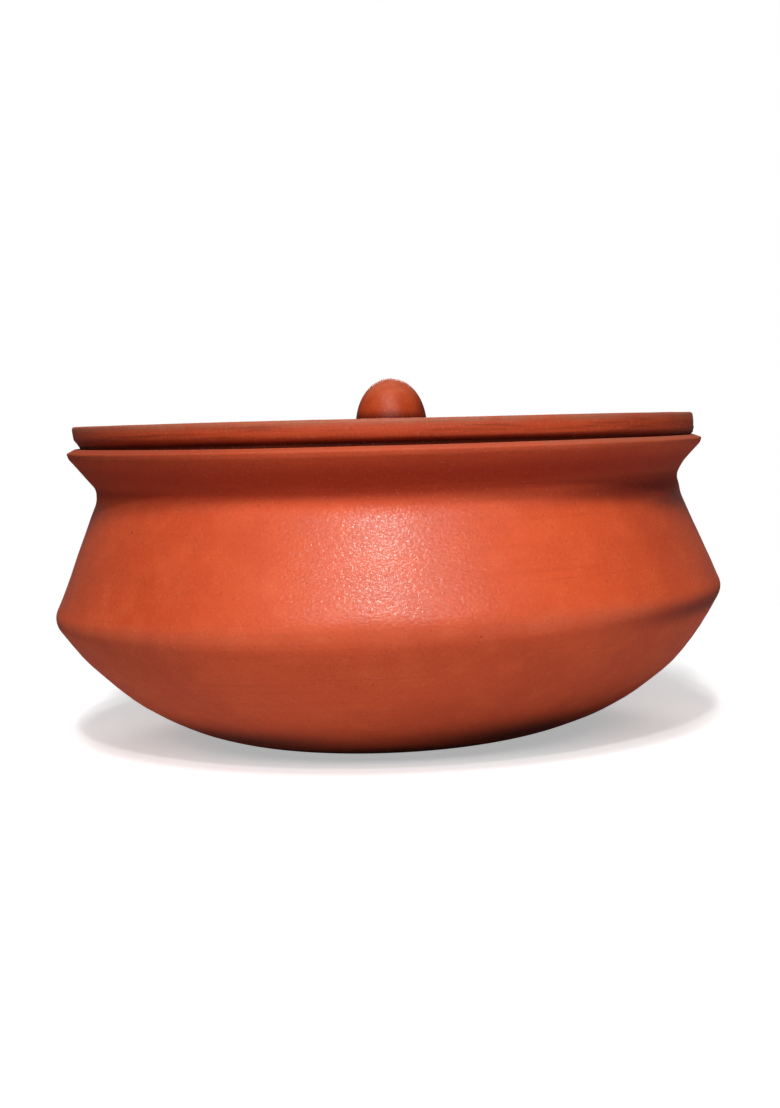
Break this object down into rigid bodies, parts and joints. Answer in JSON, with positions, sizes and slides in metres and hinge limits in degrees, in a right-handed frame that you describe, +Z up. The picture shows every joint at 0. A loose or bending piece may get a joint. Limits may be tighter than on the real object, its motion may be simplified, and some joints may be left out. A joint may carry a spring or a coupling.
{
  "type": "clay curd pot with lid",
  "caption": "Squat round terracotta pot with a ridged belly, drawn-in neck and flared lip, closed by a loose flat lid with a small domed knob, for setting curd.",
  "frame": {"origin": "middle of the flat base, on the surface that the pot stands on", "axes": "+Z up along the pot's axis, +X to the right and +Y away as the picture sees the pot; the knob stands a little towards +X"},
  "size_m": [0.228, 0.228, 0.1221],
  "materials": {
    "pot_terracotta": "unglazed red-slipped terracotta, burnished to a soft sheen",
    "lid_terracotta": "unglazed red-slipped terracotta, turned, less burnished than the pot",
    "knob_terracotta": "unglazed red-slipped terracotta, rubbed smooth by hand"
  },
  "bodies": {
    "pot": {"pot_body": "pot_terracotta"},
    "lid": {"lid_plate": "lid_terracotta", "lid_knob": "knob_terracotta"}
  },
  "joints": [
    {"name": "lid_lift", "type": "slide", "parent": "pot", "child": "lid", "axis": [0, 0, 1], "range_m": [0, 0.12]}
  ]
}
